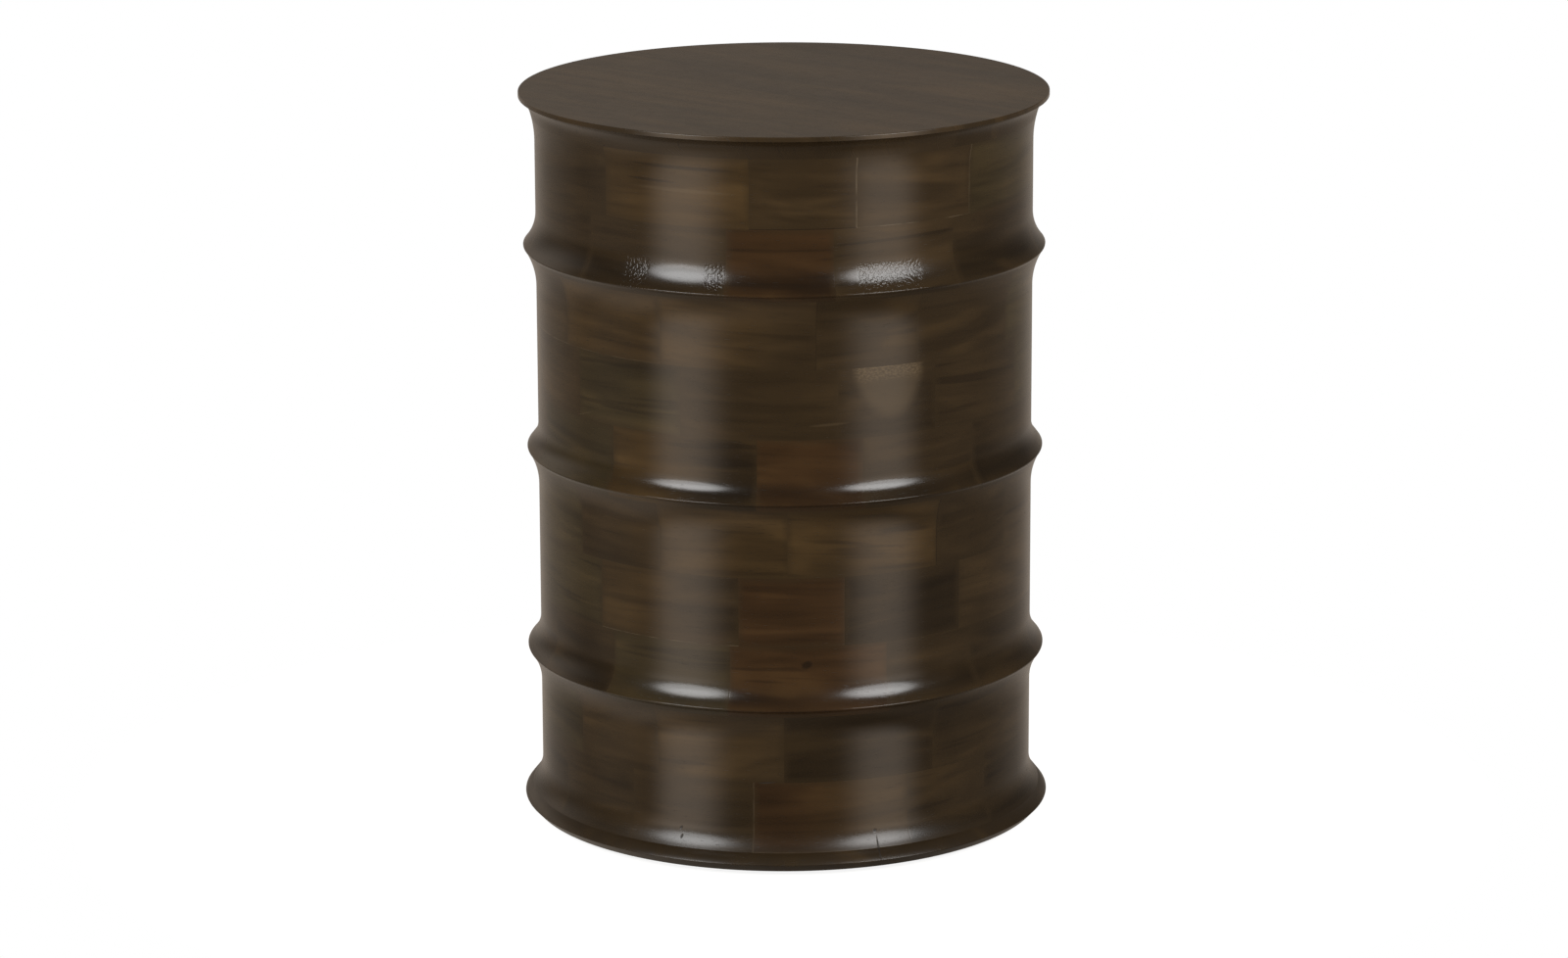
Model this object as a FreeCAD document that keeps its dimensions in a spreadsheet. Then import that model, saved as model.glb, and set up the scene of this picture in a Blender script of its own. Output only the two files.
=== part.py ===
import FreeCAD, Part
import math
import os
import Sketcher

# Drum side table in millimetres: +Z up, origin on the floor under the middle of the drum, front towards -Y.
# The wall is ten courses of glued blocks, numbered from the top down. In each course blocks of three lengths
# follow each other, and turn_NN is the angle of one joint, seen from the front and positive to the right.
SIZES = {
    "wall_radius": 188,
    "wall_thickness": 36,
    "course_height": 52.3,
    "long_block_angle": 36,
    "short_block_angle": 24,
    "top_thickness": 18,
    "board_shift": 9.4,
    "board_turn": -40,
    "rim_projection": 12,
    "rim_lip": 4,
    "rim_edge": 1.5,
    "rim_cove_drop": 33,
    "bead_projection": 9.4,
    "bead_nose": 6,
    "bead_round": 3,
    "bead_under_angle": 60,
    "bead_rise_02": 29,
    "bead_rise_05": 19,
    "bead_rise_08": 24,
    "bead_cove_drop_02": 27,
    "bead_cove_drop_05": 18,
    "bead_cove_drop_08": 20,
    "foot_projection": 13.6,
    "foot_rise": 30.3,
    "foot_round": 3.6,
    "foot_edge": 7.7,
    "base_thickness": 14,
    "screw_radius": 2.5,
    "screw_length": 45,
    "screw_head_radius": 4.8,
    "glide_height": 4,
    "glide_radius": 14,
    "glide_edge": 1,
    "glide_inset": 28,
    "pin_radius": 1.5,
    "pin_length": 11,
    "pin_head_radius": 3,
    "pin_head_sink": 1,
    "drive_radius": 1.5,
    "drive_depth": 1,
    "hole_clearance": 0.15,
    "turn_01": -43.8,
    "turn_02": -49,
    "turn_03": -29,
    "turn_04": -24,
    "turn_05": -42.3,
    "turn_06": 0.5,
    "turn_07": -46.6,
    "turn_08": -12.6,
    "turn_09": -0.4,
    "turn_10": -7.3,
}
COURSES = 10
BEAD_COURSES = (2, 5, 8)
BLOCK_SETS = 4
TOP_BOARDS = 5
FRONT_ANGLE = -90
SET_ANGLE = 360 // BLOCK_SETS

doc = FreeCAD.newDocument("drum_side_table")
sheet = doc.addObject("Spreadsheet::Sheet", "Sizes")
for row, (alias, value) in enumerate(SIZES.items(), start=1):
    sheet.set(f"A{row}", alias)
    sheet.set(f"B{row}", str(value))
    sheet.setAlias(f"B{row}", alias)
doc.recompute()

# Expressions that several pieces share
WALL = "Sizes.wall_radius"
INNER = "(Sizes.wall_radius - Sizes.wall_thickness)"
MID_WALL = "(Sizes.wall_radius - Sizes.wall_thickness / 2)"
GLIDE_CIRCLE = "(Sizes.wall_radius - Sizes.glide_inset)"
RIM = "(Sizes.wall_radius + Sizes.rim_projection)"
FOOT = "(Sizes.wall_radius + Sizes.foot_projection)"
COURSE = "Sizes.course_height"
WALL_FOOT = "(Sizes.glide_height + Sizes.base_thickness)"
WALL_HEAD = f"({WALL_FOOT} + {COURSES} * {COURSE})"
BLOCKS = {
    "long": ("0", "Sizes.long_block_angle"),
    "short": ("Sizes.long_block_angle", "Sizes.short_block_angle"),
    "medium": ("(Sizes.long_block_angle + Sizes.short_block_angle)",
               f"({SET_ANGLE} - Sizes.long_block_angle - Sizes.short_block_angle)"),
}
MIDDLE = {length: f"({start} + {angle} / 2)" for length, (start, angle) in BLOCKS.items()}
SCREWED_BLOCKS = ("long", "medium")
GLIDE_BLOCK = "short"
UPRIGHT = FreeCAD.Placement(FreeCAD.Vector(), FreeCAD.Rotation(FreeCAD.Vector(1, 0, 0), 90))


# Sketches: each outline is a closed run of points, with the centre of every rounded edge

def value_of(expression):
    return float(sheet.evalExpression(expression))


def pin(sketch, geometry, point, x=None, y=None):
    for kind, axis, expression in (("DistanceX", -2, x), ("DistanceY", -1, y)):
        if expression == "0":
            sketch.addConstraint(Sketcher.Constraint("PointOnObject", geometry, point, axis))
        elif expression is not None:
            ends = (-1, 1, geometry, point)
            if value_of(expression) < 0:
                ends = (geometry, point, -1, 1)
                expression = f"-({expression})"
            index = sketch.addConstraint(Sketcher.Constraint(kind, *ends, value_of(expression)))
            sketch.setExpression(f"Constraints[{index}]", expression)


def draw_outline(sketch, points, centres):
    corners = [FreeCAD.Vector(value_of(x), value_of(y), 0) for x, y in points]
    edges = []
    for number, start in enumerate(corners):
        end = corners[(number + 1) % len(corners)]
        if number not in centres:
            sketch.addGeometry(Part.LineSegment(start, end))
            edges.append((1, 2))
            continue
        middle = FreeCAD.Vector(*[value_of(part) for part in centres[number]], 0)
        first = math.atan2(start.y - middle.y, start.x - middle.x)
        last = math.atan2(end.y - middle.y, end.x - middle.x)
        forwards = (last - first) % (2 * math.pi) < math.pi
        circle = Part.Circle(middle, FreeCAD.Vector(0, 0, 1), (start - middle).Length)
        sweep = (first, last) if forwards else (last, first)
        sketch.addGeometry(Part.ArcOfCircle(circle, *sweep))
        edges.append((1, 2) if forwards else (2, 1))
    for number, (start, end) in enumerate(edges):
        following = (number + 1) % len(edges)
        link = Sketcher.Constraint("Coincident", number, end, following, edges[following][0])
        sketch.addConstraint(link)
    for number, (x, y) in enumerate(points):
        pin(sketch, number, edges[number][0], x, y)
    for number, (x, y) in centres.items():
        pin(sketch, number, 3, x)


def profile(name, points, centres):
    sketch = doc.addObject("Sketcher::SketchObject", name)
    sketch.Placement = UPRIGHT
    draw_outline(sketch, points, centres)
    return sketch


def turned(name, sketch, angle="360"):
    piece = doc.addObject("Part::Revolution", name)
    piece.Source = sketch
    piece.Axis = (0, 0, 1)
    piece.Solid = True
    piece.setExpression("Angle", angle)
    return piece


def place(piece, x="0", y="0", z="0", turn="0"):
    piece.setExpression("Placement.Base.x", x)
    piece.setExpression("Placement.Base.y", y)
    piece.setExpression("Placement.Base.z", z)
    piece.Placement.Rotation = FreeCAD.Rotation(FreeCAD.Vector(0, 0, 1), 1)
    piece.setExpression("Placement.Rotation.Angle", f"({turn}) * 1 deg")


def place_round(piece, radius, angle, z):
    place(piece, f"{radius} * cos({angle} * 1 deg)", f"{radius} * sin({angle} * 1 deg)", z)


def gather(name, pieces):
    group = doc.addObject("Part::Compound", name)
    group.Links = pieces
    return group


def cut(name, base, tool):
    piece = doc.addObject("Part::Cut", name)
    piece.Base = base
    piece.Tool = tool
    return piece


# Cove that hangs from a lip and dies into the wall: its circle touches the wall `drop` below the lip

class Cove:
    def __init__(self, projection, lip, drop):
        self.foot = f"({lip} - {drop})"
        self.radius = f"(({projection} ^ 2 + {drop} ^ 2) / (2 * {projection}))"
        self.centre = (f"({WALL} + {self.radius})", self.foot)

    def at(self, height):
        reach = f"sqrt({self.radius} ^ 2 - ({height} - {self.foot}) ^ 2)"
        return f"({WALL} + {self.radius} - {reach})"


BEAD_LIP = "(Sizes.bead_nose - Sizes.bead_round * sin(Sizes.bead_under_angle * 1 deg))"
BEAD_LIP_REACH = "(Sizes.bead_projection - Sizes.bead_round * (1 - cos(Sizes.bead_under_angle * 1 deg)))"


def bead_cove(course, joint):
    return Cove(BEAD_LIP_REACH, f"({joint} + {BEAD_LIP})", f"Sizes.bead_cove_drop_{course:02d}")


def rim_cove(joint):
    return Cove("Sizes.rim_projection", f"({joint} + Sizes.top_thickness - Sizes.rim_lip)",
                "Sizes.rim_cove_drop")


# Flare that spreads from the wall like a trumpet and ends in a tight rounded nose, its widest line

class Flare:
    def __init__(self, projection, rise, rounding, nose):
        slope = f"({projection} / {rise})"
        bow = f"(2 * {slope} / (1 + {slope} ^ 2))"
        self.crown = f"({nose} + {rise})"
        self.radius = f"(({projection} ^ 2 + {rise} ^ 2) / (2 * {projection}) - {rounding})"
        self.centre = (f"({WALL} + {self.radius})", self.crown)
        self.nose_centre = (f"({WALL} + {projection} - {rounding})", nose)
        self.bend = (f"({WALL} + {projection} - {rounding} * {slope} * {bow})",
                     f"({nose} + {rounding} * {bow})")

    def at(self, height):
        reach = f"sqrt({self.radius} ^ 2 - ({self.crown} - {height}) ^ 2)"
        return f"({WALL} + {self.radius} - {reach})"


def foot_flare(joint):
    return Flare("Sizes.foot_projection", "Sizes.foot_rise", "Sizes.foot_round",
                 f"({joint} - Sizes.base_thickness + Sizes.foot_edge)")


# Sections of the courses, from the joint below at height 0

def plain_section(name):
    points = [(INNER, "0"), (WALL, "0"), (WALL, COURSE), (INNER, COURSE)]
    return profile(name, points, {})


def section_under_lip(name, cove):
    points = [(INNER, "0"), (WALL, "0"), (WALL, cove.foot), (cove.at(COURSE), COURSE), (INNER, COURSE)]
    return profile(name, points, {2: cove.centre})


def bead_section(name, course):
    cove = bead_cove(course, "0")
    flare = Flare("Sizes.bead_projection", f"Sizes.bead_rise_{course:02d}", "Sizes.bead_round",
                  "Sizes.bead_nose")
    lip = (f"({WALL} + {BEAD_LIP_REACH})", BEAD_LIP)
    points = [(INNER, "0"), (cove.at("0"), "0"), lip, flare.bend, (WALL, flare.crown), (WALL, COURSE),
              (INNER, COURSE)]
    return profile(name, points, {1: cove.centre, 2: flare.nose_centre, 3: flare.centre})


def foot_section(name):
    flare = foot_flare("0")
    points = [(INNER, "0"), (flare.at("0"), "0"), (WALL, flare.crown), (WALL, COURSE), (INNER, COURSE)]
    return profile(name, points, {1: flare.centre})


def course_section(course):
    name = f"section_{course:02d}"
    if course == 1:
        return section_under_lip(name, rim_cove(COURSE))
    if course == COURSES:
        return foot_section(name)
    if course in BEAD_COURSES:
        return bead_section(name, course)
    if course - 1 in BEAD_COURSES:
        return section_under_lip(name, bead_cove(course - 1, COURSE))
    return plain_section(name)


# Screws: countersunk heads with a hexagon socket, point upwards

def screw_section(name, radius, head, length):
    points = [("0", "0"), (head, "0"), (radius, f"({head} - {radius})"),
              (radius, f"({length} - 2 * {radius})"), ("0", length)]
    return profile(name, points, {})


def screw(name, section):
    socket = doc.addObject("Part::Prism", f"{name}_socket")
    socket.Polygon = 6
    socket.setExpression("Circumradius", "Sizes.drive_radius")
    socket.setExpression("Height", "Sizes.drive_depth")
    return cut(name, turned(f"{name}_blank", section), socket)


def set_angle(length, number):
    return f"(Sizes.turn_{COURSES:02d} + {FRONT_ANGLE} + {number * SET_ANGLE} + {MIDDLE[length]})"


screw_places = [(length, number) for number in range(BLOCK_SETS) for length in SCREWED_BLOCKS]
nodes = {}

# Top: boards glued edge to edge and turned to one disc with a flared lip and a broken upper edge
top_cove = rim_cove("0")
lip_height = "(Sizes.top_thickness - Sizes.rim_lip)"
edge_height = "(Sizes.top_thickness - Sizes.rim_edge)"
top_edge = f"({RIM} - Sizes.rim_edge)"
top_section = profile("top_section", [
    ("0", "0"), (top_cove.at("0"), "0"), (RIM, lip_height), (RIM, edge_height),
    (top_edge, "Sizes.top_thickness"), ("0", "Sizes.top_thickness"),
], {1: top_cove.centre})
top_disc = turned("top_disc", top_section)
place(top_disc, z=WALL_HEAD)
board_width = f"(2 * {RIM} / {TOP_BOARDS})"
board_joints = [f"(Sizes.board_shift + {number} * {board_width} - {RIM})" for number in range(1, TOP_BOARDS)]
rough_edge = f"({RIM} + Sizes.rim_projection)"
board_edges = [f"(-{rough_edge})", *board_joints, rough_edge]
board_cos = "cos(Sizes.board_turn * 1 deg)"
board_sin = "sin(Sizes.board_turn * 1 deg)"
for number in range(TOP_BOARDS):
    near, far = board_edges[number:number + 2]
    strip = doc.addObject("Part::Box", f"board_strip_{number + 1}")
    strip.setExpression("Length", f"2 * {rough_edge}")
    strip.setExpression("Width", f"{far} - {near}")
    strip.setExpression("Height", "Sizes.top_thickness")
    place(strip, f"-{rough_edge} * {board_cos} - {near} * {board_sin}",
          f"{near} * {board_cos} - {rough_edge} * {board_sin}", WALL_HEAD, "Sizes.board_turn")
    board = doc.addObject("Part::Common", f"top_board_{number + 1}")
    board.Base = top_disc
    board.Tool = strip
    nodes[board.Label] = board

# Wall: every course is a ring of separate blocks, and the screws of the base panel bite into the lowest one
pilot_depth = "Sizes.screw_length - Sizes.base_thickness + Sizes.hole_clearance"
for course in range(1, COURSES + 1):
    section = course_section(course)
    joint_below = f"({WALL_FOOT} + {COURSES - course} * {COURSE})"
    blocks = []
    for number in range(BLOCK_SETS):
        for length, (start, angle) in BLOCKS.items():
            name = f"block_{course:02d}_{number + 1}_{length}"
            block = turned(name, section, angle)
            place(block, z=joint_below,
                  turn=f"Sizes.turn_{course:02d} + {FRONT_ANGLE} + {number * SET_ANGLE} + {start}")
            if course == COURSES and length in SCREWED_BLOCKS:
                pilot = doc.addObject("Part::Cylinder", f"pilot_{number + 1}_{length}")
                pilot.setExpression("Radius", "Sizes.screw_radius + Sizes.hole_clearance")
                pilot.setExpression("Height", pilot_depth)
                place_round(pilot, MID_WALL, set_angle(length, number), joint_below)
                block = cut(f"{name}_drilled", block, pilot)
            blocks.append(block)
    ring = gather(f"course_{course:02d}", blocks)
    nodes[ring.Label] = ring


# Base panel: a turned disc with countersunk holes for its screws and pilot holes for the glides

def body_plane(body, role):
    return next(plane for plane in body.Origin.OriginFeatures if plane.Role == role)


def body_sketch(body, name, role):
    sketch = body.newObject("Sketcher::SketchObject", name)
    sketch.AttachmentSupport = (body_plane(body, role), "")
    sketch.MapMode = "FlatFace"
    return sketch


def hole_marks(body, name, spots):
    sketch = body_sketch(body, name, "XY_Plane")
    for number, (radius, angle, size) in enumerate(spots):
        x = f"{radius} * cos({angle} * 1 deg)"
        y = f"{radius} * sin({angle} * 1 deg)"
        centre = FreeCAD.Vector(value_of(x), value_of(y), 0)
        sketch.addGeometry(Part.Circle(centre, FreeCAD.Vector(0, 0, 1), value_of(size)))
        pin(sketch, number, 3, x, y)
        index = sketch.addConstraint(Sketcher.Constraint("Radius", number, value_of(size)))
        sketch.setExpression(f"Constraints[{index}]", size)
    return sketch


def drill(body, marks, name, diameter):
    doc.recompute()
    hole = body.newObject("PartDesign::Hole", name)
    hole.Profile = marks
    hole.Reversed = True
    hole.setExpression("Diameter", diameter)
    return hole


def repeat_round(body, hole, marks, name):
    doc.recompute()
    pattern = body.newObject("PartDesign::PolarPattern", name)
    pattern.Originals = [hole]
    pattern.Axis = (marks, ["N_Axis"])
    pattern.Angle = 360
    pattern.Occurrences = BLOCK_SETS
    body.Tip = pattern


panel = doc.addObject("PartDesign::Body", "base_panel")
panel_section = body_sketch(panel, "panel_section", "XZ_Plane")
panel_flare = foot_flare("Sizes.base_thickness")
panel_floor = f"({FOOT} - Sizes.foot_edge)"
draw_outline(panel_section, [
    ("0", "0"), (panel_floor, "0"), (FOOT, "Sizes.foot_edge"), panel_flare.bend,
    (panel_flare.at("Sizes.base_thickness"), "Sizes.base_thickness"), ("0", "Sizes.base_thickness"),
], {1: (panel_floor, "Sizes.foot_edge"), 2: panel_flare.nose_centre, 3: panel_flare.centre})
panel_disc = panel.newObject("PartDesign::Revolution", "panel_disc")
panel_disc.Profile = panel_section
panel_disc.ReferenceAxis = (panel_section, ["V_Axis"])
panel_disc.Angle = 360
screw_hole = "(Sizes.screw_radius + Sizes.hole_clearance)"
screw_marks = hole_marks(panel, "screw_marks",
                         [(MID_WALL, MIDDLE[length], screw_hole) for length in SCREWED_BLOCKS])
screw_holes = drill(panel, screw_marks, "screw_holes", f"2 * {screw_hole}")
screw_holes.DepthType = "ThroughAll"
screw_holes.HoleCutType = "Countersink"
screw_holes.HoleCutCountersinkAngle = 90
screw_holes.setExpression("HoleCutDiameter", "2 * (Sizes.screw_head_radius + Sizes.hole_clearance)")
repeat_round(panel, screw_holes, screw_marks, "screw_hole_pattern")
pin_hole = "(Sizes.pin_radius + Sizes.hole_clearance)"
pin_reach = "(Sizes.pin_length + Sizes.pin_head_sink - Sizes.glide_height)"
pin_marks = hole_marks(panel, "pin_marks", [(GLIDE_CIRCLE, MIDDLE[GLIDE_BLOCK], pin_hole)])
pin_holes = drill(panel, pin_marks, "pin_holes", f"2 * {pin_hole}")
pin_holes.DepthType = "Dimension"
pin_holes.DrillPoint = "Flat"
pin_holes.setExpression("Depth", f"{pin_reach} + Sizes.hole_clearance")
repeat_round(panel, pin_holes, pin_marks, "pin_hole_pattern")
place(panel, z="Sizes.glide_height", turn=f"Sizes.turn_{COURSES:02d} + {FRONT_ANGLE}")
nodes[panel.Label] = panel

screw_profile = screw_section("screw_profile", "Sizes.screw_radius", "Sizes.screw_head_radius",
                              "Sizes.screw_length")
screws = []
for length, number in screw_places:
    one = screw(f"screw_{number + 1}_{length}", screw_profile)
    place_round(one, MID_WALL, set_angle(length, number), "Sizes.glide_height")
    screws.append(one)
nodes["base_screws"] = gather("base_screws", screws)

# Glides: round pads under the panel, each held by a sunk screw
glide_hole = "(Sizes.pin_head_radius + Sizes.hole_clearance)"
pin_cone = "(Sizes.pin_head_sink + Sizes.pin_head_radius - Sizes.pin_radius)"
glide_rim = "(Sizes.glide_radius - Sizes.glide_edge)"
glide_section = profile("glide_section", [
    (glide_hole, "0"), (glide_rim, "0"), ("Sizes.glide_radius", "Sizes.glide_edge"),
    ("Sizes.glide_radius", "Sizes.glide_height"), (pin_hole, "Sizes.glide_height"),
    (pin_hole, pin_cone), (glide_hole, "Sizes.pin_head_sink"),
], {1: (glide_rim, "Sizes.glide_edge")})
pin_profile = screw_section("pin_profile", "Sizes.pin_radius", "Sizes.pin_head_radius", "Sizes.pin_length")
pins = []
for number in range(BLOCK_SETS):
    glide = turned(f"glide_{number + 1}", glide_section)
    place_round(glide, GLIDE_CIRCLE, set_angle(GLIDE_BLOCK, number), "0")
    nodes[glide.Label] = glide
    one = screw(f"pin_{number + 1}", pin_profile)
    place_round(one, GLIDE_CIRCLE, set_angle(GLIDE_BLOCK, number), "Sizes.pin_head_sink")
    pins.append(one)
nodes["glide_screws"] = gather("glide_screws", pins)

doc.recompute()
for item in doc.Objects:
    if {"Invalid", "Error"} & set(item.State):
        raise RuntimeError(f"{item.Label} failed: {item.State}")
for label, item in nodes.items():
    if item.Shape.isNull() or not item.Shape.isValid():
        raise RuntimeError(f"{label} has no valid shape")

os.makedirs("parts", exist_ok=True)
for label, item in nodes.items():
    item.Shape.exportStep(f"parts/{label}.step")
    low_high = item.Shape.BoundBox
    print(f"{label}: {len(item.Shape.Solids)} solids, {item.Shape.Volume / 1000:.1f} cm3, "
          f"z {low_high.ZMin:.2f} to {low_high.ZMax:.2f}")
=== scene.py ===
# %% [markdown]
# # A turned drum side table
# The table is a hollow wooden drum. Ten rings of short blocks are glued up like brickwork, turned on a lathe
# and stained dark, and a round top of five boards closes the drum. The imported model comes in first as a fixed
# frame, and its parts stay in the scene.

# %% Load the imported model
import bmesh
import bpy
import math
import numpy as np
from mathutils import Matrix, Vector


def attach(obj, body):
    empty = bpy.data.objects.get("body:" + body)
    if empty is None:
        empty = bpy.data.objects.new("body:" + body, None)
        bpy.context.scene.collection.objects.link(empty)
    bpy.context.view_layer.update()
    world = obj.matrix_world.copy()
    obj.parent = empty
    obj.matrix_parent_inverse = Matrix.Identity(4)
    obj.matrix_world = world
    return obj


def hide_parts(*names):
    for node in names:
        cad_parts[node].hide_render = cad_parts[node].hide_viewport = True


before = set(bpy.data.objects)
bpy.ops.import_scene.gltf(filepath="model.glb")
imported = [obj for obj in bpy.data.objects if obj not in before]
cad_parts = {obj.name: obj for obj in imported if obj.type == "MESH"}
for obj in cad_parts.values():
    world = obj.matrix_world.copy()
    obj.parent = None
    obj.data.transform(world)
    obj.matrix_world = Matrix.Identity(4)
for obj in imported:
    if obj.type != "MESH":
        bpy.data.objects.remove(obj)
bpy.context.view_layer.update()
scene = bpy.context.scene
scene.view_settings.view_transform = "Standard"

# %% [markdown]
# ## Camera
# The picture was taken from a little above the table with a long lens, so the drum's sides stay almost upright.
# The distance, the tilt and the lens are worked out from the ellipses of the rim and the foot. The camera leans
# a fifth of a degree, as it did in the picture.

# %% Place the camera
PICTURE_WIDTH = 1600
CAMERA_SPOT = (0, -4.1784, 1.319)
LOOK_DOWN = 14.285
LEAN = -0.19

camera_data = bpy.data.cameras.new("picture_camera")
camera_data.sensor_width = 36
camera_data.lens = 129.3
camera_data.shift_x = -1 / PICTURE_WIDTH
camera = bpy.data.objects.new("picture_camera", camera_data)
tilt = Matrix.Rotation(math.radians(90 - LOOK_DOWN), 4, "X")
lean = Matrix.Rotation(math.radians(LEAN), 4, "Z")
camera.matrix_world = Matrix.Translation(CAMERA_SPOT) @ tilt @ lean
scene.collection.objects.link(camera)
scene.camera = camera
print("camera at", tuple(round(c, 3) for c in camera.matrix_world.translation))

# %% [markdown]
# ## One class for node sums
# Finishes and shapes are both drawn as trees of nodes. A tree is easier to read as sums, so a small class holds
# one output socket and turns `a * 2 + b` into Math nodes. Its `add` method makes any other kind of node: the
# settings go on first, then each socket gets a value or a link.

# %% Nodes as sums


class Wire:
    """One output of a node. Arithmetic on it adds Math nodes to the same tree."""

    def __init__(self, tree, socket=None):
        self.tree = tree
        self.socket = socket

    def add(self, kind, settings=None, sockets=None, out=0):
        made = self.tree.nodes.new(kind)
        for name, value in (settings or {}).items():
            setattr(made, name, value)
        for key, value in (sockets or {}).items():
            if isinstance(value, Wire):
                self.tree.links.new(value.socket, made.inputs[key])
            else:
                made.inputs[key].default_value = value
        return Wire(self.tree, made.outputs[out]) if made.outputs else None

    def other(self, name):
        return Wire(self.tree, self.socket.node.outputs[name])

    def math(self, operation, first, second):
        return self.add("ShaderNodeMath", {"operation": operation}, {0: first, 1: second})

    def __add__(self, value):
        return self.math("ADD", self, value)

    def __radd__(self, value):
        return self.math("ADD", value, self)

    def __sub__(self, value):
        return self.math("SUBTRACT", self, value)

    def __rsub__(self, value):
        return self.math("SUBTRACT", value, self)

    def __mul__(self, value):
        return self.math("MULTIPLY", self, value)

    def __rmul__(self, value):
        return self.math("MULTIPLY", value, self)

    def __truediv__(self, value):
        return self.math("DIVIDE", self, value)

    def __pow__(self, value):
        return self.math("POWER", self, value)


# %% [markdown]
# ## The turned outline
# A lathe gives the whole drum one outline: how far the wood reaches from the axis at each height. It is a plain
# wall with a hollow under the rim, three beads and a flared foot, and each of these is made of arcs that run
# into each other. Because the outline never doubles back, it can be kept as a table of heights and radii, and
# each ring of blocks takes its own slice of it.

# %% Sizes of the turning
MM = 0.001
WALL = 188 * MM
BORE = 152 * MM
HEIGHT = 559 * MM
TOP_BOARD = 18 * MM
COURSE = 52.3 * MM
GLIDE = 4 * MM
JOINTS = [HEIGHT - TOP_BOARD - n * COURSE for n in range(11)]
print("joint heights in mm:", [round(z / MM, 1) for z in JOINTS])


# %% Arcs of the outline
ARC_STEP = 2 * MM
ARC_TURN = 0.1


def arc(centre_r, centre_z, radius, start, end):
    """Points on an arc, close enough together to look round."""
    sweep = abs(end - start)
    steps = max(4, math.ceil(radius * sweep / ARC_STEP), math.ceil(sweep / ARC_TURN))
    angles = np.linspace(start, end, steps + 1)
    return np.column_stack((centre_r + radius * np.cos(angles), centre_z + radius * np.sin(angles)))


def cove(reach, lip, drop):
    """The hollow under a lip, which runs out on the wall."""
    radius = (reach**2 + drop**2) / (2 * reach)
    return arc(WALL + radius, lip - drop, radius, math.pi - math.asin(drop / radius), math.pi)


def flare(reach, nose, crown, hollow, nose_round):
    """A hollow that leaves the wall at the crown, a straight slope, and a crisp nose below it."""
    apart = complex(hollow - reach + nose_round, crown - nose)
    turn = math.atan2(apart.imag, apart.real) - math.acos((hollow + nose_round) / abs(apart))
    upper = arc(WALL + hollow, crown, hollow, math.pi, math.pi + turn)
    tip = arc(WALL + reach - nose_round, nose, nose_round, turn, 0)
    return np.vstack((upper, tip))


# %% The outline from lip to foot
RIM = WALL + 12 * MM
RIM_LIP = HEIGHT - 3.4 * MM
RIM_NOSE = HEIGHT - 1 * MM
KNEE_REACH, KNEE_DROP, KNEE = 3.9 * MM, 25 * MM, HEIGHT - 13 * MM
BEAD_ROUND = 0.5 * MM
BEAD_LIP = 1.6 * MM
BEAD_UNDER = math.radians(60)
# For each course with a bead, in mm: the bead's reach, the heights of its nose and its crown over the joint below,
# the radius of the hollow above it and the drop of the hollow below it.
BEADS = {
    2: (9.6, 5.2, 30.5, 37.5, 31),
    5: (8.5, 5.6, 23.8, 20.9, 29),
    8: (10, 6.2, 29.2, 30, 28),
}
FOOT = WALL + 13.55 * MM
FOOT_NOSE = 10.3 * MM
FOOT_CROWN, FOOT_HOLLOW = 39 * MM, 33 * MM
FOOT_ROUND, FOOT_LIP = 0.5 * MM, 0.8 * MM
FOOT_UNDER = math.radians(40)

shallow = 2 * math.atan(KNEE_REACH / KNEE_DROP)
steep = 2 * math.atan((RIM - WALL - KNEE_REACH) / (RIM_LIP - KNEE)) - shallow
bow = (RIM_LIP - KNEE) / (math.sin(steep) - math.sin(shallow))
bow_centre = (WALL + KNEE_REACH + bow * math.cos(shallow), KNEE - bow * math.sin(shallow))
runs = [
    arc(*bow_centre, bow, math.pi - steep, math.pi - shallow),
    cove(KNEE_REACH, KNEE, KNEE_DROP)[1:],
]
noses = [(RIM, RIM_NOSE), (FOOT, FOOT_NOSE)]
for course, sizes in BEADS.items():
    reach, nose, crown, hollow, drop = [size * MM for size in sizes]
    nose += JOINTS[course]
    runs.append(flare(reach, nose, JOINTS[course] + crown, hollow, BEAD_ROUND))
    runs.append(arc(WALL + reach - BEAD_LIP, nose, BEAD_LIP, 0, -BEAD_UNDER)[1:])
    lip_reach = reach - BEAD_LIP * (1 - math.cos(BEAD_UNDER))
    runs.append(cove(lip_reach, nose - BEAD_LIP * math.sin(BEAD_UNDER), drop)[1:])
    noses.append((WALL + reach, nose))
runs.append(flare(FOOT - WALL, FOOT_NOSE, FOOT_CROWN, FOOT_HOLLOW, FOOT_ROUND))
runs.append(arc(FOOT - FOOT_LIP, FOOT_NOSE, FOOT_LIP, 0, -FOOT_UNDER)[1:])
foot_edge = FOOT - (FOOT_NOSE - GLIDE) * math.tan(FOOT_UNDER)
runs.append(arc(foot_edge - FOOT_LIP, GLIDE + FOOT_LIP, FOOT_LIP, -FOOT_UNDER, -math.pi / 2))
outline = np.vstack(runs)
print("outline points:", len(outline), "widest:", round(outline[:, 0].max() / MM, 1), "mm")


# %% A slice of the outline
SLIVER = 0.05 * MM


def slice_of(top, bottom):
    """The rows of the outline between two heights, from the top down."""
    radii, heights = outline[::-1, 0], outline[::-1, 1]
    inside = (heights < top - SLIVER) & (heights > bottom + SLIVER)
    rows = np.concatenate(([bottom], heights[inside], [top]))
    return np.column_stack((np.interp(rows, heights, radii), rows))[::-1]


print("rows in the second course:", len(slice_of(JOINTS[1], JOINTS[2])))

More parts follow.
